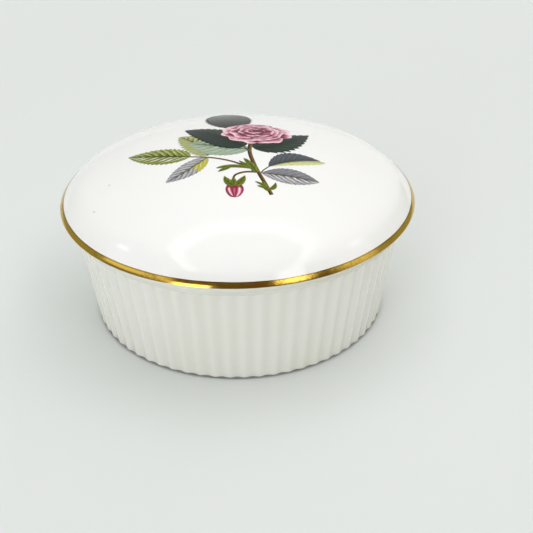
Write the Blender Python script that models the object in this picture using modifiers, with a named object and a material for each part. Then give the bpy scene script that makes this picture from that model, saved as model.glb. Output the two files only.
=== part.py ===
"""A round porcelain trinket box: a ribbed bowl, and a domed lift-off lid with a gilded edge.

Metres, +Z up. The origin is the centre of the foot ring, on the surface the box stands on,
and +Z is the axis that every piece is turned around.
"""

import math

import bpy

MM = 0.001

# Driving dimensions
LID_RADIUS = 48.0 * MM
RIM_HEIGHT = 32.0 * MM
SEAT_GAP = 0.3 * MM
DOME_RISE = 15.0 * MM  # of the dome's top above the lid's seat

# Bowl
FOOT_WALL_RADIUS = 40.5 * MM
SHOULDER_WALL_RADIUS = 44.6 * MM
SHOULDER_HEIGHT = 29.0 * MM
WALL_THICKNESS = 2.6 * MM
FLOOR_HEIGHT = 3.6 * MM
FLOOR_FILLET = 3.8 * MM
FOOT_RING_OUTER = 39.2 * MM
FOOT_RING_INNER = 37.4 * MM
RECESS_RADIUS = 36.7 * MM
RECESS_DEPTH = 0.95 * MM
COLLAR_RADIUS = 45.1 * MM
COLLAR_BOTTOM = 29.8 * MM
BEAD_RADIUS = 45.45 * MM
BEAD_TOP = 29.4 * MM
BEAD_BOTTOM = 28.9 * MM
MOUTH_RADIUS = 42.2 * MM
MOUTH_DEPTH = 6.0 * MM
MOUTH_TAPER = 0.2 * MM
RIM_ROUNDING = 0.45 * MM

# Ribs pressed into the bowl's wall
RIB_COUNT = 66
STEPS_PER_RIB = 4
RIB_DEPTH = 0.4 * MM
RIB_TOP = 28.5 * MM
RIB_FULL_TOP = 27.2 * MM
RIB_FOOT = 0.5 * MM  # where the wall ends above the foot ring
RIB_OFFSET = 0.14  # how far the first crest stands past the front, in ribs

# Lid
LID_STEPS = 88
LID_BODY_RADIUS = 46.6 * MM
CAP_RADIUS = 99.0 * MM  # of the sphere that the dome is a cap of
SHOULDER_START = 40.0 * MM
SHOULDER_DROP = 1.8 * MM  # how far below the cap the dome meets the lip
SHOULDER_POWER = 2.5
LID_THICKNESS = 2.7 * MM
FLANGE_OUTER = 41.3 * MM
FLANGE_INNER = 39.3 * MM
FLANGE_DROP = 4.2 * MM
FLANGE_ROUNDING = 0.4 * MM
LID_CORNER = 0.3 * MM
UNDERSIDE_FILLET = 1.5 * MM
UNDERSIDE_FILLET_DROP = 1.6 * MM
DOME_RINGS = (0, 9, 18, 26, 33, 38, 41.5, 44, 45.6)  # radii in mm
UNDERSIDE_RINGS = (36, 29, 20, 10, 0)  # radii in mm

# Gilded lip around the lid's edge
GILT_INNER = 46.93 * MM
GILT_MIDDLE = 47.6 * MM
GILT_MIDDLE_HEIGHT = 0.66 * MM  # above the lid's seat
NOSE_RADIUS = 0.15 * MM
NOSE_HEIGHT = 0.25 * MM


def clear_scene():
    for obj in list(bpy.data.objects):
        bpy.data.objects.remove(obj, do_unlink=True)


def new_collection(name):
    collection = bpy.data.collections.new(name)
    bpy.context.scene.collection.children.link(collection)
    return collection


def make_material(name, colour, roughness, metallic):
    material = bpy.data.materials.new(name)
    material.use_nodes = True
    shader = material.node_tree.nodes["Principled BSDF"]
    shader.inputs["Base Color"].default_value = (*colour, 1.0)
    shader.inputs["Roughness"].default_value = roughness
    shader.inputs["Metallic"].default_value = metallic
    material.diffuse_color = (*colour, 1.0)
    return material


def arc(centre, radius, start, end, count):
    """Points on an arc in the (radius, height) plane, from one angle in degrees to another."""
    points = []
    for i in range(count):
        angle = math.radians(start + (end - start) * i / (count - 1))
        points.append((centre[0] + radius * math.cos(angle), centre[1] + radius * math.sin(angle)))
    return points


def turned(name, profile, steps, collection, closed=False):
    """A solid of revolution around Z, as a mesh object. The profile runs down its outer side."""
    edges = [(i, i + 1) for i in range(len(profile) - 1)]
    if closed:
        edges.append((len(profile) - 1, 0))
    mesh = bpy.data.meshes.new(name + "_profile")
    mesh.from_pydata([(radius, 0.0, height) for radius, height in profile], edges, [])
    guide = bpy.data.objects.new(name + "_profile", mesh)
    collection.objects.link(guide)
    screw = guide.modifiers.new("turn", "SCREW")
    screw.axis = "Z"
    screw.angle = math.tau
    screw.steps = steps
    screw.render_steps = steps
    screw.use_merge_vertices = True
    screw.merge_threshold = 0.00005
    graph = bpy.context.evaluated_depsgraph_get()
    solid = bpy.data.meshes.new_from_object(guide.evaluated_get(graph))
    solid.name = name
    bpy.data.objects.remove(guide, do_unlink=True)
    piece = bpy.data.objects.new(name, solid)
    collection.objects.link(piece)
    return piece


def shade_round(piece, angle):
    piece.data.shade_smooth()
    piece.data.set_sharp_from_angle(angle=math.radians(angle))


def wall_radius(height):
    """The bowl's outer radius along the crests of its ribs."""
    slope = (SHOULDER_WALL_RADIUS - FOOT_WALL_RADIUS) / SHOULDER_HEIGHT
    return FOOT_WALL_RADIUS + slope * height


def bowl_profile():
    """From the middle of the floor, up inside, over the rim, and down outside to the foot."""
    fillet_top = FLOOR_HEIGHT + FLOOR_FILLET
    fillet_centre = (wall_radius(fillet_top) - WALL_THICKNESS - FLOOR_FILLET, fillet_top)
    return [
        (0.0, FLOOR_HEIGHT),
        *arc(fillet_centre, FLOOR_FILLET, -90, 0, 3),
        (MOUTH_RADIUS - MOUTH_TAPER, RIM_HEIGHT - MOUTH_DEPTH),
        (MOUTH_RADIUS, RIM_HEIGHT - RIM_ROUNDING),
        (MOUTH_RADIUS + RIM_ROUNDING, RIM_HEIGHT),
        (COLLAR_RADIUS - RIM_ROUNDING, RIM_HEIGHT),
        (COLLAR_RADIUS, RIM_HEIGHT - RIM_ROUNDING),
        (COLLAR_RADIUS, COLLAR_BOTTOM),
        (BEAD_RADIUS, BEAD_TOP),
        (BEAD_RADIUS, BEAD_BOTTOM),
        (wall_radius(RIB_TOP), RIB_TOP),
        (wall_radius(RIB_FULL_TOP), RIB_FULL_TOP),
        (wall_radius(RIB_FOOT), RIB_FOOT),
        (FOOT_RING_OUTER, RIB_FOOT),
        (FOOT_RING_OUTER, 0.0),
        (FOOT_RING_INNER, 0.0),
        (RECESS_RADIUS, RECESS_DEPTH),
        (0.0, RECESS_DEPTH),
    ]


def on_ribbed_wall(radius, height):
    """Whether a point lies on the bowl's outside, between the foot and the ribs' tops."""
    near = 0.01 * MM
    in_height = RIB_FOOT - near < height < RIB_FULL_TOP + near
    return in_height and abs(radius - wall_radius(height)) < near


def press_ribs(piece):
    """Pushes the wall in between the rib crests, at the full depth from the foot to the shoulder."""
    for vertex in piece.data.vertices:
        radius = math.hypot(vertex.co.x, vertex.co.y)
        if not on_ribbed_wall(radius, vertex.co.z):
            continue
        # The first crest is at the front, where Y is most negative.
        turn = math.atan2(vertex.co.x, -vertex.co.y)
        inset = RIB_DEPTH * (1 - math.cos(RIB_COUNT * turn)) / 2
        vertex.co.x *= (radius - inset) / radius
        vertex.co.y *= (radius - inset) / radius


def make_bowl(collection, material):
    bowl = turned("base_bowl", bowl_profile(), RIB_COUNT * STEPS_PER_RIB, collection)
    press_ribs(bowl)
    bowl.rotation_euler.z = RIB_OFFSET * math.tau / RIB_COUNT
    bowl.data.materials.append(material)
    shade_round(bowl, 30)
    return bowl


def dome_height(radius):
    """Height above the seat of a cap of a sphere, with a shoulder that falls away to the lip."""
    cap = CAP_RADIUS - math.sqrt(CAP_RADIUS ** 2 - radius ** 2)
    past = max(0.0, (radius - SHOULDER_START) / (GILT_INNER - SHOULDER_START))
    return DOME_RISE - cap - SHOULDER_DROP * past ** SHOULDER_POWER


def lid_profile():
    """From the top of the dome, down its edge, across the seat, around the flange and up inside."""
    over = [(radius * MM, dome_height(radius * MM)) for radius in DOME_RINGS]
    inside = [(radius * MM, dome_height(radius * MM) - LID_THICKNESS) for radius in UNDERSIDE_RINGS]
    flange_root = dome_height(FLANGE_INNER) - LID_THICKNESS
    fillet_centre = (FLANGE_INNER - UNDERSIDE_FILLET, flange_root - UNDERSIDE_FILLET_DROP)
    return [
        *over,
        (LID_BODY_RADIUS, dome_height(LID_BODY_RADIUS)),
        (LID_BODY_RADIUS, LID_CORNER),
        (LID_BODY_RADIUS - LID_CORNER, 0.0),
        (FLANGE_OUTER, 0.0),
        (FLANGE_OUTER, FLANGE_ROUNDING - FLANGE_DROP),
        (FLANGE_OUTER - FLANGE_ROUNDING, -FLANGE_DROP),
        (FLANGE_INNER + FLANGE_ROUNDING, -FLANGE_DROP),
        (FLANGE_INNER, FLANGE_ROUNDING - FLANGE_DROP),
        *arc(fillet_centre, UNDERSIDE_FILLET, 0, 60, 3),
        *inside,
    ]


def gilt_profile():
    """The lid's gilded lip as a ring, from the dome's end down to a small round nose."""
    nose_centre = (LID_RADIUS - NOSE_RADIUS, NOSE_HEIGHT)
    return [
        (GILT_INNER, dome_height(GILT_INNER)),
        (GILT_MIDDLE, GILT_MIDDLE_HEIGHT),
        *arc(nose_centre, NOSE_RADIUS, 35, -80, 4),
        (GILT_INNER, 0.0),
    ]


def make_lid(collection, porcelain, gilt):
    """The lid and its gilding, under an empty on the lift axis at the height of the lid's seat."""
    seat = bpy.data.objects.new("lid_seat", None)
    seat.location.z = RIM_HEIGHT + SEAT_GAP
    collection.objects.link(seat)
    lid = turned("lid", lid_profile(), LID_STEPS, collection)
    lid.data.materials.append(porcelain)
    band = turned("lid_gilt_band", gilt_profile(), LID_STEPS, collection, closed=True)
    band.data.materials.append(gilt)
    for piece in (lid, band):
        piece.parent = seat
        shade_round(piece, 30)


def main():
    clear_scene()
    collection = new_collection("trinket_box")
    porcelain = make_material("porcelain", (0.84, 0.84, 0.81), 0.12, 0.0)
    gilt = make_material("gilt", (0.62, 0.38, 0.08), 0.22, 1.0)
    make_bowl(collection, porcelain)
    make_lid(collection, porcelain, gilt)


main()
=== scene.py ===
"""The looks of the porcelain trinket box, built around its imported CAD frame.

Lengths are in metres. MM turns millimetres into metres. +Z is up, and the front is towards -Y.
"""

import math
import random

import bpy
from mathutils import Matrix, Vector


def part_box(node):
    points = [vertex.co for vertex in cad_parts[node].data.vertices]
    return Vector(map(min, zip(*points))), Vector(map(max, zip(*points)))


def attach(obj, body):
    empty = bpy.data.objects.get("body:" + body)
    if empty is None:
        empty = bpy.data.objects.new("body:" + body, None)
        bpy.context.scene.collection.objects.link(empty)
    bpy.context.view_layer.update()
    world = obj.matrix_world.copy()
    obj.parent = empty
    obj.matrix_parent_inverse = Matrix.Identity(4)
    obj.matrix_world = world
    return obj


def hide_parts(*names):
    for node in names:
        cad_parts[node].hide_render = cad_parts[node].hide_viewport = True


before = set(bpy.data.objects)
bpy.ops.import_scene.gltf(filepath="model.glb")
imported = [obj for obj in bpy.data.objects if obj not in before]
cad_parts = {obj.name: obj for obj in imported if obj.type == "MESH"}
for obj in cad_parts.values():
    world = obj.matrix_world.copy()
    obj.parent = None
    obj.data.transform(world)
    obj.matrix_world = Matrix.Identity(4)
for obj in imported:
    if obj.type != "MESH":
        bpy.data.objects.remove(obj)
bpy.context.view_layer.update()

MM = 0.001

# Sizes that the frame gives
BOWL_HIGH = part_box("base_bowl")[1]
LID_LOW, LID_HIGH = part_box("lid")
GILT_LOW, GILT_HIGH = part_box("lid_gilt_band")
LID_RADIUS = GILT_HIGH[0]
SEAT = GILT_LOW[2]
APEX = LID_HIGH[2]
RIM = BOWL_HIGH[2]

# Lid
GILT_STAND = 0.04 * MM  # how far the gilding stands proud of the porcelain
CAP_RADIUS = 99.0 * MM  # of the sphere that the dome is a cap of
SHOULDER_START = 40.0 * MM
SHOULDER_DROP = 1.8 * MM  # how far below the cap the dome meets the lip
SHOULDER_POWER = 2.5
LIP_INNER = 46.93 * MM
LIP_MIDDLE = 47.6 * MM
LIP_OUTER = LID_RADIUS - GILT_STAND
LIP_UNDER = 47.2 * MM
LIP_MIDDLE_HEIGHT = 0.68 * MM  # above the seat
LIP_OUTER_HEIGHT = 0.15 * MM
LID_THICKNESS = 2.7 * MM
HOLLOW_EDGE = 37  # radius in mm where the underside leaves the flange
FLANGE_OUTER = 41.3 * MM
FLANGE_INNER = 39.3 * MM
LID_SEGMENTS = 396
DOME_RINGS = 90
GILT_STEPS = 18  # across the film
GILT_WANDER = 0.03 * MM  # of its upper border

# Bowl
BEAD_RADIUS = BOWL_HIGH[0]
COLLAR_RADIUS = BEAD_RADIUS - 0.4 * MM
FOOT_WALL_RADIUS = 40.5 * MM
WALL_SLOPE = 4.1 / 29.0
WALL_THICKNESS = 2.6 * MM
MOUTH_RADIUS = 42.2 * MM
FLOOR_HEIGHT = 3.6 * MM
BEAD_HEIGHT = 29.15 * MM
FOOT_RING_OUTER = 39.2 * MM
FOOT_RING_INNER = 37.4 * MM
RECESS_RADIUS = 36.7 * MM
RECESS_DEPTH = 0.95 * MM
WALL_FOOT = 0.5 * MM  # where the wall turns in over the foot ring
RIB_COUNT = 66
RIB_SEGMENTS = 12  # around each rib
RIB_DEPTH = 0.4 * MM
RIB_OFFSET = 0.14  # how far the first crest stands past the front, in ribs
RIB_TOP = 28.35 * MM
RIB_ARCH = 1.1 * MM  # height of the arch that ends a hollow
RIB_EASE = 0.9 * MM  # over which a hollow reaches its depth
POOL_AND_SHADE_SHARE = 0.11  # of the darker colour in the middle of a hollow: partly deeper glaze, partly painted shade

# Camera, with its angles in degrees and its lens in mm
CAMERA_DISTANCE = 285.0 * MM
CAMERA_ELEVATION = 33.35
CAMERA_YAW = -1.56
CAMERA_PITCH = 1.46
CAMERA_ROLL = 1.47
CAMERA_LENS = 66.05

SHARP_ANGLE = 40  # degrees, past which an edge isn't smoothed


# ---------------------------------------------------------------- materials

def colour(red, green, blue):
    """A screen colour from 0 to 255, as the linear colour that a shader takes."""
    def linear(value):
        value /= 255
        return value / 12.92 if value <= 0.04045 else ((value + 0.055) / 1.055) ** 2.4
    return (linear(red), linear(green), linear(blue), 1.0)


def new_material(name):
    material = bpy.data.materials.new(name)
    material.use_nodes = True
    return material


def shader_of(material):
    return material.node_tree.nodes["Principled BSDF"]


def add_node(material, kind, inputs=None, **settings):
    """A new node, with its settings, and each input either linked or given a value."""
    made = material.node_tree.nodes.new(kind)
    for name, value in settings.items():
        setattr(made, name, value)
    feed(material, made, inputs or {})
    return made


def feed(material, target, inputs):
    for name, value in inputs.items():
        if isinstance(value, bpy.types.NodeSocket):
            material.node_tree.links.new(value, target.inputs[name])
        else:
            target.inputs[name].default_value = value


def maths(material, operation, first, second=0.0, third=0.0):
    made = add_node(material, "ShaderNodeMath", {0: first, 1: second, 2: third}, operation=operation)
    return made.outputs[0]


def split(material, vector):
    parts = add_node(material, "ShaderNodeSeparateXYZ", {"Vector": vector})
    return parts.outputs["X"], parts.outputs["Y"], parts.outputs["Z"]


def joined(material, x, y, z=0.0):
    return add_node(material, "ShaderNodeCombineXYZ", {"X": x, "Y": y, "Z": z}).outputs["Vector"]


def ramp(material, value, stops):
    """A colour ramp through (position, colour) stops."""
    made = add_node(material, "ShaderNodeValToRGB", {"Fac": value})
    elements = made.color_ramp.elements
    elements[0].position, elements[0].color = stops[0]
    elements[1].position, elements[1].color = stops[-1]
    for position, shade in stops[1:-1]:
        elements.new(position).color = shade
    return made.outputs["Color"]


def spread(material, value, low, high, to_low=0.0, to_high=1.0):
    """Maps value from low..high to to_low..to_high, smoothly and held at both ends."""
    made = add_node(
        material,
        "ShaderNodeMapRange",
        {"Value": value, "From Min": low, "From Max": high, "To Min": to_low, "To Max": to_high},
        interpolation_type="SMOOTHSTEP",
    )
    return made.outputs["Result"]


def blend_colours(material, factor, first, second, mode="MIX"):
    made = add_node(material, "ShaderNodeMix", data_type="RGBA", blend_type=mode)
    feed(material, made, {0: factor, 6: first, 7: second})
    return made.outputs[2]


def noise(material, where, scale, detail=3.0, roughness=0.5):
    made = add_node(
        material,
        "ShaderNodeTexNoise",
        {"Vector": where, "Scale": scale, "Detail": detail, "Roughness": roughness},
    )
    return made.outputs["Fac"]


def object_place(material):
    return add_node(material, "ShaderNodeTexCoord").outputs["Object"]


def specks(material, where, scale, rarity, size):
    """1 inside a few small dots, of which most cells have none."""
    cells = add_node(material, "ShaderNodeTexVoronoi", {"Vector": where, "Scale": scale})
    pick = add_node(material, "ShaderNodeSeparateColor", {"Color": cells.outputs["Color"]})
    chosen = maths(material, "GREATER_THAN", pick.outputs[0], rarity)
    near = spread(material, cells.outputs["Distance"], size * 0.5, size, 1.0, 0.0)
    return maths(material, "MULTIPLY", chosen, near)


def bump(material, height, strength, distance):
    made = add_node(
        material, "ShaderNodeBump", {"Height": height, "Strength": strength, "Distance": distance}
    )
    return made.outputs["Normal"]


def pooled_glaze_and_shade(material, where):
    """How much darker the hollows between the ribs are, from 0 to POOL_AND_SHADE_SHARE: partly deeper
    glaze, partly painted shade.
    """
    x, y, height = split(material, where)
    angle = maths(material, "ARCTAN2", x, maths(material, "MULTIPLY", y, -1.0))
    square = maths(material, "MULTIPLY_ADD", x, x, maths(material, "MULTIPLY", y, y))
    radius = maths(material, "SQRT", square)
    radius_at_foot = maths(material, "MULTIPLY_ADD", height, -WALL_SLOPE, radius)
    inner_side = FOOT_WALL_RADIUS - WALL_THICKNESS
    outside = spread(material, radius_at_foot, inner_side + 0.8 * MM, inner_side + 1.6 * MM)
    phase = maths(material, "MULTIPLY_ADD", angle, RIB_COUNT, -RIB_OFFSET * math.tau)
    wave = maths(material, "COSINE", phase)
    hollow = maths(material, "MULTIPLY_ADD", wave, -POOL_AND_SHADE_SHARE / 2, POOL_AND_SHADE_SHARE / 2)
    below_bead = spread(material, height, RIB_TOP - RIB_ARCH, RIB_TOP, 1.0, 0.0)
    return maths(material, "MULTIPLY", maths(material, "MULTIPLY", hollow, below_bead), outside)


def glaze(name, body, bowl=False):
    """Clear gloss glaze over white bone china, with a few iron specks.

    The bowl's glaze is darker between its ribs: partly deeper glaze, partly painted shade in the hollows.
    Its foot ring is painted dark and dull, a painted shadow that deepens the thin shadow under the wall; it
    isn't the colour of a real foot.
    """
    material = new_material(name)
    where = object_place(material)
    cloud = noise(material, where, 45.0)
    whiter = spread(material, cloud, 0.3, 0.7, 0.0, 0.3)
    tint = blend_colours(material, whiter, body, colour(252, 252, 250))
    dots = specks(material, where, 330.0, 0.985, 0.13)
    tint = blend_colours(material, maths(material, "MULTIPLY", dots, 0.5), tint, colour(150, 140, 120))
    smears = noise(material, where, 120.0, 4.0)
    gloss = spread(material, smears, 0.35, 0.75, 0.025, 0.06)
    if bowl:
        height = split(material, where)[2]
        # painted shade: the hollows between the ribs are darkened, partly as deeper glaze and partly as
        # painted shade
        tint = blend_colours(material, pooled_glaze_and_shade(material, where), tint, colour(205, 204, 194))
        # painted shadow: the foot ring below WALL_FOOT is painted dark and dull, to deepen the contact
        # shadow under the wall
        foot = spread(material, height, WALL_FOOT, WALL_FOOT + 0.08 * MM, 1.0, 0.0)
        tint = blend_colours(material, foot, tint, colour(80, 75, 66))
        gloss = maths(material, "ADD", gloss, maths(material, "MULTIPLY", foot, 0.5))
    ripple = noise(material, where, 260.0, 2.0)
    shader = shader_of(material)
    feed(material, shader, {
        "Base Color": tint,
        "Roughness": gloss,
        "Normal": bump(material, ripple, 0.05, 0.05 * MM),
        "Subsurface Weight": 0.12,
        "Subsurface Scale": 1.2 * MM,
        "Subsurface Radius": (1.0, 0.8, 0.6),
        "IOR": 1.52,
    })
    return material


def gilding(name):
    """Burnished gold, rubbed finely all along, and duller in a few worn patches."""
    material = new_material(name)
    where = object_place(material)
    cloud = noise(material, where, 150.0, 4.0)
    tint = blend_colours(material, cloud, (0.61, 0.39, 0.05, 1.0), (0.77, 0.515, 0.105, 1.0))
    rubbing = noise(material, where, 1100.0, 5.0, 0.65)
    patches = spread(material, noise(material, where, 60.0), 0.45, 0.60)
    wear = maths(material, "MULTIPLY", patches, spread(material, rubbing, 0.45, 0.62, 0.0, 0.6))
    tint = blend_colours(material, wear, tint, (0.36, 0.22, 0.03, 1.0))
    height = split(material, where)[2]
    top = dome_height(LIP_INNER)
    # painted shade: the gold's upper border is darkened towards brown, partly thin gold at its edge and
    # partly a painted dark reflection
    thin_and_shaded_edge = spread(material, height, top - 0.25 * MM, top - 0.05 * MM, 0.0, 0.6)
    tint = blend_colours(material, thin_and_shaded_edge, tint, (0.16, 0.09, 0.01, 1.0))
    rough = maths(material, "MULTIPLY_ADD", rubbing, 0.10, 0.06)
    rough = maths(material, "MULTIPLY_ADD", patches, 0.10, rough)
    grain = maths(material, "MULTIPLY_ADD", patches, 1.1, 0.2)
    scratched = maths(material, "MULTIPLY", rubbing, grain)
    feed(material, shader_of(material), {
        "Base Color": tint,
        "Metallic": 1.0,
        "Roughness": rough,
        "Normal": bump(material, scratched, 0.8, 0.04 * MM),
    })
    return material


# ---------------------------------------------------------------- turned porcelain

def rounded(corners, steps=7):
    """Straight runs through (radius, height, rounding), each corner replaced by a curve."""
    points = []
    for i, (radius, height, rounding) in enumerate(corners):
        here = Vector((radius, height))
        if not rounding or i in (0, len(corners) - 1):
            points.append(here)
            continue
        before = (Vector(corners[i - 1][:2]) - here).normalized() * rounding
        after = (Vector(corners[i + 1][:2]) - here).normalized() * rounding
        for k in range(steps + 1):
            t = k / steps
            points.append(here + before * (1 - t) ** 2 + after * t ** 2)
    return points


def divided(points, longest):
    """The same profile with no run longer than that."""
    out = [points[0]]
    for start, end in zip(points, points[1:]):
        parts = max(1, math.ceil((end - start).length / longest))
        out.extend(start.lerp(end, k / parts) for k in range(1, parts + 1))
    return out


def turn(name, profile, segments, shape=None):
    """A closed surface turned around Z. The profile runs down its outer side, from axis to axis."""
    points, rings, faces = [], [], []
    for radius, height in profile:
        if radius < 0.001 * MM:
            rings.append([len(points)] * segments)
            points.append((0.0, 0.0, height))
            continue
        rings.append(range(len(points), len(points) + segments))
        for i in range(segments):
            angle = math.tau * i / segments
            reach = shape(radius, height, angle) if shape else radius
            points.append((reach * math.sin(angle), -reach * math.cos(angle), height))
    for upper, lower in zip(rings, rings[1:]):
        for i in range(segments):
            j = (i + 1) % segments
            corners = dict.fromkeys((upper[i], lower[i], lower[j], upper[j]))
            faces.append(list(corners))
    return mesh_object(name, points, faces)


def mesh_object(name, points, faces):
    mesh = bpy.data.meshes.new(name)
    mesh.from_pydata(points, [], faces)
    piece = bpy.data.objects.new(name, mesh)
    bpy.context.scene.collection.objects.link(piece)
    mesh.shade_smooth()
    mesh.set_sharp_from_angle(angle=math.radians(SHARP_ANGLE))
    return piece


def wall_radius(height):
    """The bowl's outer radius along the crests of its ribs."""
    return FOOT_WALL_RADIUS + WALL_SLOPE * height


def ribbed(radius, height, angle):
    """The wall pushed in between crests. Each hollow ends in a small round arch below the bead."""
    off_wall = abs(radius - wall_radius(height)) > 0.02 * MM
    if off_wall or not 0.2 * MM < height < RIB_TOP:
        return radius
    phase = angle * RIB_COUNT / math.tau - RIB_OFFSET
    hollow = (1 - math.cos(math.tau * phase)) / 2
    arch_top = RIB_TOP - RIB_ARCH * (1 - hollow)
    ease = min(1.0, max(0.0, (arch_top - height) / RIB_EASE))
    return radius - RIB_DEPTH * hollow * ease * (2 - ease)


def bowl_profile():
    """From the middle of the floor, up inside, over the rim, and down outside to the foot."""
    floor_edge = wall_radius(FLOOR_HEIGHT) - WALL_THICKNESS
    corners = [
        (0.0, FLOOR_HEIGHT, 0.0),
        (floor_edge, FLOOR_HEIGHT, 3.6 * MM),
        (MOUTH_RADIUS - 0.2 * MM, RIM - 6.0 * MM, 1.5 * MM),
        (MOUTH_RADIUS, RIM, 0.8 * MM),
        (COLLAR_RADIUS, RIM, 0.7 * MM),
        (COLLAR_RADIUS, BEAD_HEIGHT + 0.55 * MM, 0.25 * MM),
        (BEAD_RADIUS + 0.1 * MM, BEAD_HEIGHT + 0.2 * MM, 0.28 * MM),
        (BEAD_RADIUS + 0.1 * MM, BEAD_HEIGHT - 0.2 * MM, 0.28 * MM),
        (wall_radius(RIB_TOP), RIB_TOP, 0.25 * MM),
        (wall_radius(WALL_FOOT), WALL_FOOT, 0.1 * MM),
        (FOOT_RING_OUTER + 0.1 * MM, WALL_FOOT + 0.1 * MM, 0.2 * MM),
        (FOOT_RING_OUTER, 0.0, 0.1 * MM),
        (FOOT_RING_INNER, 0.0, 0.3 * MM),
        (RECESS_RADIUS, RECESS_DEPTH, 0.4 * MM),
        (0.0, RECESS_DEPTH, 0.0),
    ]
    return divided(rounded(corners), 0.9 * MM)


def make_bowl():
    bowl = turn("bowl_glazed", bowl_profile(), RIB_COUNT * RIB_SEGMENTS, ribbed)
    # painted shade: the bowl's white is darker and warmer than the lid's, though both are the same
    # porcelain, for the weaker light on the wall
    bowl.data.materials.append(glaze("bowl_glaze", colour(245, 245, 235), bowl=True))
    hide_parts("base_bowl")
    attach(bowl, "base")


def dome_height(radius):
    """Height of the lid's upper surface: a cap of a sphere, with a shoulder down to the lip."""
    cap = CAP_RADIUS - math.sqrt(CAP_RADIUS ** 2 - radius ** 2)
    past = max(0.0, (radius - SHOULDER_START) / (LIP_INNER - SHOULDER_START))
    return APEX - cap - SHOULDER_DROP * past ** SHOULDER_POWER


def lip_profile():
    """The lid's lip, from the dome's end over its rounded nose to the seat."""
    return rounded([
        (LIP_INNER, dome_height(LIP_INNER), 0.0),
        (LIP_MIDDLE, SEAT + LIP_MIDDLE_HEIGHT, 0.5 * MM),
        (LIP_OUTER, SEAT + LIP_OUTER_HEIGHT, 0.12 * MM),
        (LIP_UNDER, SEAT, 0.0),
    ], steps=12)


def lid_profile():
    """From the top of the dome, over the lip, around the flange and up inside."""
    radii = [LIP_INNER * k / DOME_RINGS for k in range(DOME_RINGS)]
    over = [Vector((radius, dome_height(radius))) for radius in radii]
    flange_bottom = LID_LOW[2]
    root = dome_height(FLANGE_INNER) - LID_THICKNESS
    hollow_edge = HOLLOW_EDGE * MM
    flange = rounded([
        (LIP_UNDER, SEAT, 0.0),
        (FLANGE_OUTER, SEAT, 0.5 * MM),
        (FLANGE_OUTER, flange_bottom, 0.7 * MM),
        (FLANGE_INNER, flange_bottom, 0.7 * MM),
        (FLANGE_INNER, root, 1.6 * MM),
        (hollow_edge, dome_height(hollow_edge) - LID_THICKNESS, 0.0),
    ])
    inner_radii = [radius * MM for radius in reversed(range(HOLLOW_EDGE))]
    under = [Vector((radius, dome_height(radius) - LID_THICKNESS)) for radius in inner_radii]
    return [*over, *lip_profile(), *divided(flange[1:], 1.2 * MM), *under]


def make_lid():
    lid = turn("lid_glazed", lid_profile(), LID_SEGMENTS)
    # the lid's white is the brighter of two copies of one porcelain; the bowl's darker copy holds painted
    # shade
    lid.data.materials.append(glaze("lid_glaze", colour(251, 251, 247)))
    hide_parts("lid")
    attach(lid, "lid")


# ---------------------------------------------------------------- gilding

def along(points, distance):
    """The point and the outward normal at a distance along a profile that runs down."""
    for start, end in zip(points, points[1:]):
        length = (end - start).length
        if distance <= length or end is points[-1]:
            direction = (end - start).normalized()
            return start + direction * distance, Vector((-direction.y, direction.x))
        distance -= length


def make_gilding():
    """A film over the lid's lip, laid by hand, so its upper border wanders a little."""
    lip = lip_profile()
    underside = (lip[-1] - lip[-2]).length
    outer_end = sum((b - a).length for a, b in zip(lip, lip[1:])) - underside
    points, faces = [], []
    for i in range(LID_SEGMENTS):
        angle = math.tau * i / LID_SEGMENTS
        wander = math.sin(5 * angle + 1.0) + 0.6 * math.sin(13 * angle) + 0.4 * math.sin(31 * angle + 2)
        begin = GILT_WANDER * wander
        reach = outer_end - begin
        loop = [(begin + reach * k / GILT_STEPS, GILT_STAND) for k in range(GILT_STEPS + 1)]
        loop += [(distance, -GILT_STAND) for distance, _ in reversed(loop)]
        for distance, stand in loop:
            place, normal = along(lip, distance)
            place = place + normal * stand
            points.append((place.x * math.sin(angle), -place.x * math.cos(angle), place.y))
    count = 2 * (GILT_STEPS + 1)
    for i in range(LID_SEGMENTS):
        j = (i + 1) % LID_SEGMENTS
        for k in range(count):
            m = (k + 1) % count
            faces.append((i * count + k, i * count + m, j * count + m, j * count + k))
    gilt = mesh_object("gilt_edge", points, faces)
    gilt.data.materials.append(gilding("gilt_film"))
    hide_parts("lid_gilt_band")
    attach(gilt, "lid")


# ---------------------------------------------------------------- printed rose spray

PRINT_LIFT = 0.010 * MM  # between one layer of print and the next
PRINT_BODY = 0.050 * MM  # thickness of a film, measured down from its layer
STEPS_PER_TOOTH = 7  # along a leaf's toothed margin
PETAL_SQUASH = 0.80  # of a petal, from front to back
PETAL_NOTCH = 0.06
PETAL_FRILL = 0.04


def print_film(name, sheets, material):
    """Films laid on the dome. A sheet is (place, steps along, steps across, layer, tone), and its
    place gives (x, y) in mm seen from above, for u along and v across, each from 0 to 1."""
    points, faces, strokes = [], [], []
    for place, along_steps, across_steps, layer, tone in sheets:
        first = len(points)
        for i in range(along_steps + 1):
            for j in range(across_steps + 1):
                u, v = i / along_steps, j / across_steps
                x, y = place(u, v)
                height = dome_height(math.hypot(x, y) * MM) + layer * PRINT_LIFT
                points.append((x * MM, y * MM, height))
                strokes.append((u, v, tone))
        row = across_steps + 1
        for i in range(along_steps):
            for j in range(across_steps):
                corner = first + i * row + j
                faces.append((corner, corner + row, corner + row + 1, corner + 1))
    piece = mesh_object(name, points, faces)
    stroke = piece.data.attributes.new("stroke", "FLOAT_VECTOR", "POINT")
    stroke.data.foreach_set("vector", [value for triple in strokes for value in triple])
    body = piece.modifiers.new("body", "SOLIDIFY")
    body.thickness = PRINT_BODY
    body.offset = -1.0
    piece.data.materials.append(material)
    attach(piece, "lid")


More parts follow.
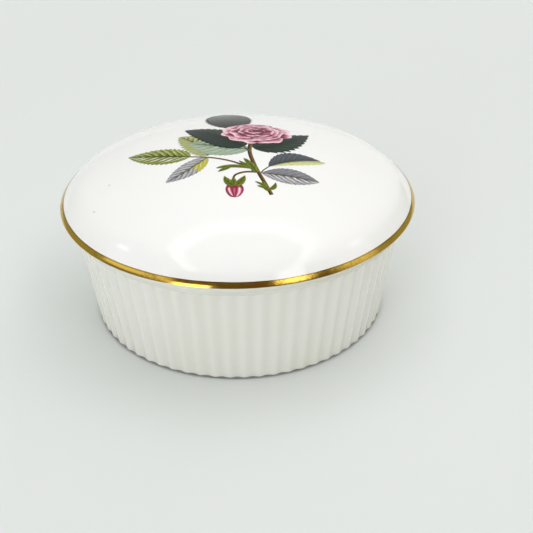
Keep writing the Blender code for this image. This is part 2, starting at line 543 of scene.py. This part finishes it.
def leaf(base, tip, half_width, bend=0.0, teeth=12, tooth=0.16, swell=(0.62, 0.95), halves=(1.0, 1.0)):
    """The place function of a leaf with a toothed margin, from its base to its tip, in mm."""
    base, tip = Vector(base), Vector(tip)
    axis = tip - base
    side = Vector((-axis.y, axis.x)).normalized()
    rise, fall = swell
    belly = rise / (rise + fall)
    most = belly ** rise * (1 - belly) ** fall

    def place(u, v):
        across = 2 * v - 1
        saw = (u * teeth) % 1.0 if 0 < u < 1 else 0.0
        near_margin = abs(across) ** 4
        reach = half_width * u ** rise * (1 - u) ** fall / most + 0.02
        reach *= halves[0] if across > 0 else halves[1]
        reach *= 1 + tooth * (saw - 0.4) * near_margin
        forward = u + 0.5 * saw * tooth / teeth * near_margin
        middle = base + axis * forward + side * bend * 4 * u * (1 - u)
        spot = middle + side * reach * across
        return spot.x, spot.y

    return place


def curve_point(points, t):
    """A point on a smooth curve through the given points."""
    spans = len(points) - 1
    i = min(int(t * spans), spans - 1)
    f = t * spans - i
    p1, p2 = Vector(points[i]), Vector(points[i + 1])
    p0 = Vector(points[i - 1]) if i else p1 * 2 - p2
    p3 = Vector(points[i + 2]) if i + 2 <= spans else p2 * 2 - p1
    linear = p2 - p0
    square = p0 * 2 - p1 * 5 + p2 * 4 - p3
    cube = p1 * 3 - p0 - p2 * 3 + p3
    return (p1 * 2 + linear * f + square * f ** 2 + cube * f ** 3) / 2


def ribbon(points, start_width, end_width):
    """The place function of a stem that follows the points, in mm."""
    def place(u, v):
        spot = curve_point(points, u)
        direction = curve_point(points, min(1, u + 0.01)) - curve_point(points, max(0, u - 0.01))
        side = Vector((-direction.y, direction.x)).normalized()
        spot += side * (v - 0.5) * (start_width + (end_width - start_width) * u)
        return spot.x, spot.y

    return place


def fan(centre, turn_start, sweep, inner, outer, phase):
    """The place function of a petal seen from above: a fan with a notched, frilled rim, in mm."""
    def place(u, v):
        across = 2 * v - 1
        angle = turn_start + sweep * v
        notch = PETAL_NOTCH * math.exp(-(across / 0.18) ** 2)
        reach = outer * (1 - 0.20 * across ** 4 - notch)
        reach *= 1 + PETAL_FRILL * math.sin(9 * angle + phase)
        distance = inner + (reach - inner) * u
        x = centre[0] + distance * math.cos(angle)
        y = centre[1] + distance * PETAL_SQUASH * math.sin(angle)
        return x, y

    return place


def stroke_of(material):
    """The along, across (0 at the middle, 1 at a margin), side (0 to 1) and tone of a print."""
    stroke = add_node(material, "ShaderNodeAttribute", attribute_name="stroke")
    u, v, tone = split(material, stroke.outputs["Vector"])
    across = maths(material, "ABSOLUTE", maths(material, "MULTIPLY_ADD", v, 2.0, -1.0))
    return u, across, v, tone


def brushed(material, u, v, along, across, detail=3.0, layer=0.0):
    """Noise drawn out along the stroke, like the marks of a brush."""
    place = joined(
        material, maths(material, "MULTIPLY", u, along), maths(material, "MULTIPLY", v, across), layer
    )
    return noise(material, place, 1.0, detail, 0.6)


def finish_print(material, tint):
    """Enamel colours fired on the glaze, a little less glossy than the porcelain round them."""
    where = object_place(material)
    grain = noise(material, where, 2600.0, 3.0, 0.7)
    fired = spread(material, grain, 0.3, 0.75, 0.0, 0.3)
    tint = blend_colours(material, fired, tint, colour(214, 211, 204), "SOFT_LIGHT")
    gloss = spread(material, noise(material, where, 120.0, 4.0), 0.35, 0.75, 0.14, 0.22)
    feed(material, shader_of(material), {
        "Base Color": tint,
        "Roughness": gloss,
        "Specular IOR Level": 0.12,
    })
    return material


def leaf_paint(name, dark, body, light, far, rib, sheen=(232, 232, 226), veins=8, slant=0.26,
               sheen_near=0.0, sheen_far=0.0, far_end=2.0, far_share=0.6, depth=0.8):
    """A leaf painted with brush strokes along its side veins, and its far half in another tone.

    The sheen is the pale strokes beside the midrib. The far tone stops at far_end along the leaf.
    """
    material = new_material(name)
    u, across, v, _ = stroke_of(material)
    lean = maths(material, "MULTIPLY_ADD", across, -slant, u)
    side = maths(material, "MULTIPLY", spread(material, v, 0.49, 0.51), 7.0)
    hairs = brushed(material, lean, across, 70.0, 2.5, 2.0, side)
    broad = brushed(material, lean, across, 14.0, 2.0, 2.0, side)
    step = maths(material, "MULTIPLY_ADD", lean, float(veins), 2.0)
    step = maths(material, "MULTIPLY_ADD", broad, 0.8, step)
    saw = maths(material, "FRACT", step)
    near_rib = spread(material, across, 0.0, 0.45, -0.22, 0.05)
    level = maths(material, "MULTIPLY_ADD", saw, 0.55 * depth, near_rib)
    level = maths(material, "MULTIPLY_ADD", hairs, depth, level)
    level = maths(material, "SUBTRACT", level, 0.7 * depth - 0.42)
    tint = ramp(material, level, ((0.08, colour(*dark)), (0.45, colour(*body)), (0.85, colour(*light))))
    half = maths(material, "MULTIPLY", spread(material, v, 0.48, 0.52),
                 spread(material, u, far_end, far_end + 0.12, far_share, 0.0))
    tint = blend_colours(material, half, tint, colour(*far))
    amount = spread(material, v, 0.49, 0.51, sheen_near, sheen_far)
    stroke = spread(material, saw, 0.38, 0.55)
    for value, low, high in ((saw, 0.92, 0.75), (across, 0.85, 0.45), (across, 0.05, 0.16),
                             (hairs, 0.40, 0.52)):
        stroke = maths(material, "MULTIPLY", stroke, spread(material, value, low, high))
    tint = blend_colours(material, maths(material, "MULTIPLY", stroke, amount), tint, colour(*sheen))
    off_vein = maths(material, "ABSOLUTE", maths(material, "SUBTRACT", saw, 0.02))
    vein = spread(material, off_vein, 0.10, 0.0)
    vein = maths(material, "MULTIPLY", vein, spread(material, across, 0.35, 0.9, 0.75, 0.0))
    tint = blend_colours(material, vein, tint, colour(*dark))
    midrib = spread(material, maths(material, "MULTIPLY_ADD", u, 0.05, across), 0.06, 0.13, 0.9, 0.0)
    tint = blend_colours(material, midrib, tint, colour(*rib))
    return finish_print(material, tint)


def petal_paint(name, deepest, deep, middle, pale, rim):
    """A petal, deep where it comes out from under the next, and pale along its curled rim."""
    material = new_material(name)
    u, across, v, tone = stroke_of(material)
    streak = brushed(material, u, v, 1.3, 13.0, 3.0, maths(material, "MULTIPLY", tone, 40.0))
    folds = brushed(material, u, v, 0.8, 3.5, 1.0, maths(material, "MULTIPLY", tone, 90.0))
    level = maths(material, "MULTIPLY_ADD", u, 1.35, -1.36)
    level = maths(material, "MULTIPLY_ADD", streak, 1.0, level)
    level = maths(material, "MULTIPLY_ADD", folds, 0.9, level)
    level = maths(material, "MULTIPLY_ADD", tone, -0.42, level)
    under = spread(material, v, 0.0, 0.35, 0.40, 0.0)
    level = maths(material, "SUBTRACT", level, under)
    tint = ramp(material, level, (
        (0.05, colour(*deepest)), (0.22, colour(*deep)), (0.42, colour(*middle)),
        (0.62, colour(*pale)), (0.84, colour(*rim)),
    ))
    sides = spread(material, across, 0.88, 0.99, 0.0, 0.6)
    edge = spread(material, u, 0.955, 0.995, 0.0, 0.55)
    line = maths(material, "MULTIPLY", maths(material, "MAXIMUM", sides, edge),
                 spread(material, streak, 0.35, 0.6))
    tint = blend_colours(material, line, tint, colour(*deep))
    return finish_print(material, tint)


def bud_paint(name, deep, middle, pale):
    """A bud's petal: deep at the top and the margins, with a pale window down its middle."""
    material = new_material(name)
    u, across, v, tone = stroke_of(material)
    streak = brushed(material, u, v, 2.0, 9.0, 3.0, tone)
    level = maths(material, "MULTIPLY_ADD", streak, 0.5, across)
    level = maths(material, "ADD", level, spread(material, u, 0.45, 0.15, 0.0, 0.8))
    level = maths(material, "ADD", level, tone)
    tint = ramp(material, level, (
        (0.45, colour(*pale)), (0.74, colour(*middle)), (1.0, colour(*deep)),
    ))
    return finish_print(material, tint)


def stem_paint(name, dark, middle, light):
    """A stem lit from one side, with a dark margin on the other."""
    material = new_material(name)
    u, _, v, _ = stroke_of(material)
    streak = brushed(material, u, v, 9.0, 3.0)
    level = maths(material, "MULTIPLY_ADD", streak, 0.7, v)
    level = maths(material, "SUBTRACT", level, 0.35)
    tint = ramp(material, level, ((0.15, colour(*dark)), (0.5, colour(*middle)), (0.85, colour(*light))))
    return finish_print(material, tint)


def make_leaves():
    """Base and tip of each leaf as (x, y) in mm from the lid's centre, seen from above."""
    looks = {
        "dark_green": leaf_paint("leaf_dark_green", (10, 22, 12), (26, 44, 30), (56, 78, 58), (24, 42, 36),
                                 (12, 24, 16), depth=0.55),
        "grey_green": leaf_paint("leaf_grey_green", (6, 14, 9), (11, 22, 15), (24, 36, 28), (10, 21, 15),
                                 (9, 18, 13), depth=0.6),
        "sage": leaf_paint("leaf_sage", (92, 110, 82), (142, 160, 134), (176, 195, 168), (158, 176, 152),
                           (72, 90, 62), sheen=(202, 216, 196), veins=7, sheen_near=0.2, sheen_far=0.5),
        "yellow_sage": leaf_paint("leaf_yellow_sage", (84, 96, 40), (156, 160, 98), (194, 196, 138),
                                  (166, 170, 112), (80, 90, 36), veins=9, depth=1.2),
        "olive": leaf_paint("leaf_olive", (48, 62, 0), (118, 128, 22), (184, 192, 120), (120, 128, 26),
                            (56, 68, 2), veins=9, sheen_far=1.0, depth=1.2),
        "lilac": leaf_paint("leaf_lilac", (92, 92, 96), (140, 140, 145), (186, 186, 192), (112, 112, 119),
                            (84, 82, 34), veins=8, sheen_near=0.95, depth=1.0),
        "lilac_gold": leaf_paint("leaf_lilac_gold", (90, 90, 94), (140, 140, 145), (190, 190, 194),
                                 (190, 186, 20), (92, 92, 22), veins=8, sheen_near=0.5, sheen_far=0.4,
                                 far_end=0.36, far_share=0.9, depth=1.0),
        "slate": leaf_paint("leaf_slate", (48, 54, 52), (76, 82, 86), (112, 117, 127), (74, 80, 84),
                            (60, 62, 44), veins=9, depth=1.0),
        "straw": leaf_paint("leaf_straw", (150, 154, 80), (206, 208, 136), (232, 232, 178), (202, 206, 134),
                            (130, 132, 74), veins=9, depth=0.8),
    }
    leaves = [
        # name, look, layer, base, tip, half width, options
        ("back", "grey_green", 1, (-0.3, 11.4), (-4.3, 31.3), 6.3, dict(teeth=14, swell=(0.55, 0.6))),
        ("left_yellow_sage", "yellow_sage", 1, (-7.6, -6.2), (-15.6, 8.0), 4.3,
         dict(teeth=12, bend=-0.8, halves=(0.85, 1.3), tooth=0.3, swell=(0.6, 0.8))),
        ("left_sage", "sage", 2, (3.2, -3.6), (-12.6, 2.2), 4.3,
         dict(teeth=13, bend=0.5, swell=(0.6, 0.7), tooth=0.10, halves=(1.15, 0.75))),
        ("left_dark", "dark_green", 3, (1.9, -2.0), (-14.3, 13.3), 5.0,
         dict(teeth=13, bend=-0.6, swell=(0.5, 0.9))),
        ("right_dark", "dark_green", 3, (4.7, -3.4), (19.8, 9.4), 5.2,
         dict(teeth=11, bend=-1.5, swell=(0.5, 1.05), tooth=0.26, halves=(1.0, 0.86))),
        ("far_left_olive", "olive", 1, (-12.2, -5.6), (-29.2, 1.9), 4.0,
         dict(teeth=14, bend=0.6, swell=(0.6, 0.9))),
        ("lower_left_lilac", "lilac_gold", 1, (-7.6, -7.0), (-18.2, -16.2), 3.0,
         dict(teeth=12, bend=0.5, swell=(0.7, 0.9), tooth=0.11)),
        ("right_upper_slate", "slate", 1, (8.0, -12.2), (21.8, -6.7), 4.0,
         dict(teeth=12, bend=1.2, swell=(0.72, 0.9), halves=(1.0, 0.14), tooth=0.12)),
        ("right_upper_straw", "straw", 0, (8.3, -12.1), (22.9, -7.0), 1.8,
         dict(teeth=10, bend=1.0, swell=(0.9, 0.6), halves=(0.3, 1.0))),
        ("right_lower_lilac", "lilac", 1, (6.0, -15.2), (20.7, -16.8), 3.2,
         dict(teeth=13, bend=0.2, swell=(0.9, 0.95), tooth=0.09)),
    ]
    for name, look, layer, base, tip, half_width, options in leaves:
        steps = options["teeth"] * STEPS_PER_TOOTH
        place = leaf(base, tip, half_width, **options)
        print_film("print_leaf_" + name, [(place, steps, 16, layer, 0.0)], looks[look])


def make_stems():
    brown = stem_paint("stem_brown", (48, 28, 0), (90, 62, 12), (130, 98, 42))
    green = stem_paint("stem_green", (40, 52, 34), (66, 80, 52), (98, 112, 78))
    stalks = [
        # name, paint, layer, width at the start and at the end, points
        ("main", brown, 3.6, 1.15, 1.0,
         [(3.8, 1.2), (3.3, -4.5), (4.1, -10.2), (5.6, -15.8), (8.3, -23.6)]),
        ("left_stalk", brown, 5, 0.7, 0.45, [(2.0, -12.1), (-1.6, -9.7), (-6.4, -7.5), (-12.4, -5.7)]),
        ("bud_stalk", brown, 5, 0.7, 0.55, [(4.3, -14.7), (1.6, -14.9), (-0.5, -16.0), (-1.2, -17.8)]),
        ("right_stalk", green, 5, 0.35, 0.3, [(6.0, -15.0), (6.7, -13.8), (8.3, -11.9)]),
        ("leaf_stalk", green, 5, 0.4, 0.55, [(1.5, -1.5), (2.4, -3.0), (3.3, -5.0)]),
    ]
    for name, paint, layer, start, end, points in stalks:
        print_film("print_stem_" + name, [(ribbon(points, start, end), 48, 6, layer, 0.0)], paint)


def print_leaflets(name, leaflets, lowest_layer, paint):
    """Leaflets as (base, tip, half width, options), each laid just over the one before."""
    sheets = []
    for i, (base, tip, half_width, options) in enumerate(leaflets):
        place = leaf(base, tip, half_width, **options)
        sheets.append((place, 24, 8, lowest_layer + 0.2 * i, 0.0))
    print_film(name, sheets, paint)


def make_bracts():
    """The small green leaflets where the stalks branch, and the bud's sepals."""
    paint = leaf_paint("bract_green", (50, 60, 0), (100, 112, 12), (156, 166, 66), (82, 98, 8),
                       (60, 74, 4), veins=4, depth=0.7)
    plain = dict(tooth=0.0, teeth=6)
    bracts = [
        ((4.9, -15.2), (1.7, -8.4), 0.95, dict(plain, bend=-0.3, swell=(0.4, 0.7))),
        ((3.2, -12.8), (0.4, -9.6), 0.55, plain),
        ((3.9, -13.4), (-5.4, -12.6), 0.65, dict(plain, bend=-0.9, swell=(0.6, 0.5))),
        ((-1.8, -12.6), (-5.0, -14.4), 0.55, dict(plain, bend=-0.2)),
        ((7.7, -22.2), (6.2, -18.6), 0.75, dict(plain, bend=0.2, swell=(0.4, 0.8))),
        ((7.8, -21.9), (9.5, -18.9), 0.60, dict(plain, bend=-0.5)),
        ((7.2, -20.6), (4.3, -18.7), 0.40, plain),
        ((7.3, -21.2), (4.8, -20.4), 0.38, plain),
    ]
    print_leaflets("print_bracts", bracts, 7, paint)
    sepals = [
        ((-1.0, -20.6), (-3.4, -16.4), 0.95, dict(plain, bend=0.35)),
        ((-0.7, -20.6), (1.9, -16.4), 0.95, dict(plain, bend=-0.35)),
        ((-0.9, -20.4), (-1.1, -16.9), 0.70, plain),
    ]
    print_leaflets("print_sepals", sepals, 9, paint)


def make_bud():
    """A closed bud: a deep body, with two lighter petals wrapped over it."""
    paint = bud_paint("bud_crimson", (142, 42, 68), (202, 102, 128), (252, 222, 228))
    petals = [
        # base, tip, half width, how much deeper, bend
        ((-0.95, -19.2), (-0.75, -24.7), 2.1, 0.5, 0.0),
        ((-1.75, -19.3), (-1.3, -24.2), 0.90, 0.15, -0.65),
        ((-0.05, -19.3), (-0.4, -24.5), 1.0, 0.1, 0.65),
    ]
    sheets = []
    for i, (base, tip, width, tone, bend) in enumerate(petals):
        place = leaf(base, tip, width, bend, teeth=6, tooth=0.0, swell=(0.5, 0.5))
        sheets.append((place, 28, 12, 5 + 0.5 * i, tone))
    print_film("print_bud", sheets, paint)


def make_rose():
    """Rings of petals, each ring smaller and further back, around a deep cup."""
    draw = random.Random(11)
    paint = petal_paint("rose_pink", (96, 24, 50), (140, 56, 84), (186, 108, 134), (222, 160, 178),
                        (246, 216, 220))
    rings = [
        # petals, outer radius, where a petal starts as a share of it, tone, layer, centre
        (7, 9.8, 0.60, 0.00, 4, (5.3, 7.7)),
        (6, 8.5, 0.58, 0.05, 5, (5.2, 8.0)),
        (5, 7.0, 0.55, 0.05, 6, (5.3, 8.3)),
        (4, 5.5, 0.50, 0.05, 7, (5.4, 8.7)),
        (4, 3.9, 0.00, 0.90, 8, (5.9, 9.0)),
        (3, 2.5, 0.20, 0.05, 9, (4.8, 8.7)),
        (4, 2.0, 0.00, 1.00, 10, (5.9, 8.9)),
    ]
    for number, (count, outer, start_share, tone, layer, centre) in enumerate(rings, 1):
        sheets = []
        start = draw.uniform(0, math.tau)
        for i in range(count):
            angle = start + math.tau * (i + draw.uniform(-0.15, 0.15)) / count
            sweep = math.tau / count * draw.uniform(1.3, 1.6)
            reach = outer * draw.uniform(0.88, 1.05)
            place = fan(centre, angle, sweep, start_share * outer, reach, draw.uniform(0, math.tau))
            sheets.append((place, 16, 24, layer + 0.9 * i / count, tone + draw.uniform(-0.1, 0.1)))
        print_film(f"print_rose_ring_{number}", sheets, paint)


# ---------------------------------------------------------------- studio

FLOOR_HALF = 3.0  # half the floor's width, in metres

# The tent's opening overhead: a rounded arch in the slopes of the surface that mirrors it
ARCH_MIDDLE = (0.02, 1.0)
ARCH_ROUNDNESS = 3.4
RIM_HALF_SIZE = (0.335, 0.685)
RIM_LIGHT = 2.6
OPENING_HALF_SIZE = (0.262, 0.650)
OPENING_LIGHT = 1.1

# Brightness of the tent's air, as (height, brightness), from the horizon at 0 to overhead at 1
AIR_BEFORE = ((0.0, 0.23), (0.2, 0.35), (0.45, 0.57), (0.72, 1.15), (1.0, 2.30))
AIR_BEHIND = ((0.0, 0.70), (0.2, 0.62), (0.45, 0.85), (0.72, 1.49), (1.0, 2.45))
AIR_FROM_RIGHT = 0.52  # how much more than the mean comes from the right, and less from the left
AIR_STRENGTH = 1.03

DARK = (0.15, 0.10, 0.06)
LIT = (3.0, 3.1, 3.25)
OLIVE = (0.38, 0.39, 0.30)
PALE = (1.0, 1.0, 1.0)
PATCH_SOFTNESS = 0.8  # degrees
PATCHES = (
    # turn and tilt, half width and half height, shade
    ((2.3, 20.0), (11.8, 26.0), DARK),
    ((-15.8, 20.0), (6.6, 26.0), DARK),
    ((27.5, 20.0), (6.5, 26.0), DARK),
    ((-70.0, 18.0), (21.0, 31.0), OLIVE),
    ((71.0, 18.0), (21.0, 31.0), OLIVE),
    ((-36.0, 41.8), (13.0, 3.8), PALE),
    ((42.0, 41.8), (8.0, 3.8), PALE),
    ((-15.8, 20.0), (6.0, 19.6), LIT),
    ((17.2, 41.2), (4.7, 4.4), LIT),
    ((-45.0, 50.0), (2.6, 2.0), LIT),
    ((45.0, 49.0), (2.6, 2.0), LIT),
)


def make_floor():
    half = FLOOR_HALF
    corners = [(-half, -half, 0), (half, -half, 0), (half, half, 0), (-half, half, 0)]
    floor = mesh_object("studio_floor", corners, [(0, 1, 2, 3)])
    material = new_material("floor_paper")
    where = object_place(material)
    cloud = noise(material, where, 9.0, 5.0)
    tint = blend_colours(material, cloud, (0.75, 0.78, 0.76, 1.0), (0.775, 0.805, 0.785, 1.0))
    feed(material, shader_of(material), {"Base Color": tint, "Roughness": 0.6})
    floor.data.materials.append(material)


def patch(air, world, angles, place, half_size, shade):
    """The world's colour with a soft-edged oblong patch."""
    within = []
    for angle, middle, half in zip(angles, place, half_size):
        offset = maths(world, "ABSOLUTE", maths(world, "SUBTRACT", angle, middle))
        within.append(spread(world, offset, half - PATCH_SOFTNESS, half + PATCH_SOFTNESS, 1.0, 0.0))
    return blend_colours(world, maths(world, "MULTIPLY", *within), air, (*shade, 1.0))


def arch_reach(world, slopes, half_size):
    """How far out a pair of slopes lies in a rounded arch of this size: 1 on its outline."""
    parts = []
    for slope, middle, half in zip(slopes, ARCH_MIDDLE, half_size):
        offset = maths(world, "DIVIDE", maths(world, "SUBTRACT", slope, middle), half)
        parts.append(maths(world, "POWER", maths(world, "ABSOLUTE", offset), ARCH_ROUNDNESS))
    return maths(world, "POWER", maths(world, "ADD", *parts), 1 / ARCH_ROUNDNESS)


def overhead(air, world, slopes):
    """The world's colour with the tent's opening overhead: its bright rim, then the opening."""
    for half_size, light in ((RIM_HALF_SIZE, RIM_LIGHT), (OPENING_HALF_SIZE, OPENING_LIGHT)):
        inside = spread(world, arch_reach(world, slopes, half_size), 0.97, 1.03, 1.0, 0.0)
        air = blend_colours(world, inside, air, (light, light, light, 1.0))
    return air


def grey_ramp(world, value, stops):
    """A ramp through (position, brightness) stops."""
    return ramp(world, value, [(position, (level, level, level, 1.0)) for position, level in stops])


def tent_air(world, direction):
    """The light tent's own air, brightest above, behind the box and to the right."""
    across, back, up = split(world, direction)
    height = maths(world, "MULTIPLY", maths(world, "ARCSINE", up), 2 / math.pi)
    before = grey_ramp(world, height, AIR_BEFORE)
    behind = grey_ramp(world, height, AIR_BEHIND)
    air = blend_colours(world, maths(world, "MULTIPLY_ADD", back, 0.5, 0.5), before, behind)
    from_right = maths(world, "MULTIPLY_ADD", across, AIR_FROM_RIGHT, 1.0)
    return blend_colours(world, 1.0, air, joined(world, from_right, from_right, from_right), "MULTIPLY")


def mirroring_normal(world, direction):
    """The normal of a surface that mirrors this direction to the camera: to the right, front and up."""
    elevation = math.radians(CAMERA_ELEVATION)
    camera_side = (0.0, -math.cos(elevation), math.sin(elevation))
    halfway = add_node(world, "ShaderNodeVectorMath", {0: direction, 1: camera_side}, operation="ADD")
    facing = add_node(world, "ShaderNodeVectorMath", {0: halfway.outputs["Vector"]}, operation="NORMALIZE")
    x, y, z = split(world, facing.outputs["Vector"])
    return x, maths(world, "MULTIPLY", y, -1.0), maths(world, "MAXIMUM", z, 0.02)


def make_world():
    """A light tent, with the patches that shine in the box from where the camera stands.

    Each is placed by the slope that mirrors it to the camera. PATCHES give that slope's turn from
    the front and its tilt above the horizontal, in degrees.
    """
    world = bpy.data.worlds.new("studio_air")
    world.use_nodes = True
    direction = add_node(world, "ShaderNodeTexCoord").outputs["Generated"]
    right, front, up = mirroring_normal(world, direction)
    slopes = (maths(world, "DIVIDE", right, up), maths(world, "DIVIDE", front, up))
    air = overhead(tent_air(world, direction), world, slopes)
    angles = (
        maths(world, "MULTIPLY", maths(world, "ARCTAN2", right, front), math.degrees(1.0)),
        maths(world, "MULTIPLY", maths(world, "ARCSINE", up), math.degrees(1.0)),
    )
    for place, half_size, shade in PATCHES:
        air = patch(air, world, angles, place, half_size, shade)
    feed(world, world.node_tree.nodes["Background"], {"Color": air, "Strength": AIR_STRENGTH})
    bpy.context.scene.world = world


def make_camera():
    elevation = math.radians(CAMERA_ELEVATION)
    data = bpy.data.cameras.new("camera")
    data.lens = CAMERA_LENS
    data.sensor_width = 36.0
    data.clip_start = 0.01
    camera = bpy.data.objects.new("camera", data)
    back = CAMERA_DISTANCE * math.cos(elevation)
    camera.location = (0.0, -back, CAMERA_DISTANCE * math.sin(elevation))
    turns = (
        Matrix.Rotation(math.pi / 2 - elevation, 3, "X")
        @ Matrix.Rotation(math.radians(CAMERA_YAW), 3, "Y")
        @ Matrix.Rotation(math.radians(CAMERA_PITCH), 3, "X")
        @ Matrix.Rotation(-math.radians(CAMERA_ROLL), 3, "Z")
    )
    camera.rotation_euler = turns.to_euler()
    bpy.context.scene.collection.objects.link(camera)
    bpy.context.scene.camera = camera


make_bowl()
make_lid()
make_gilding()
make_leaves()
make_rose()
make_stems()
make_bracts()
make_bud()
make_floor()
make_world()
make_camera()
bpy.context.scene.view_settings.view_transform = "Standard"
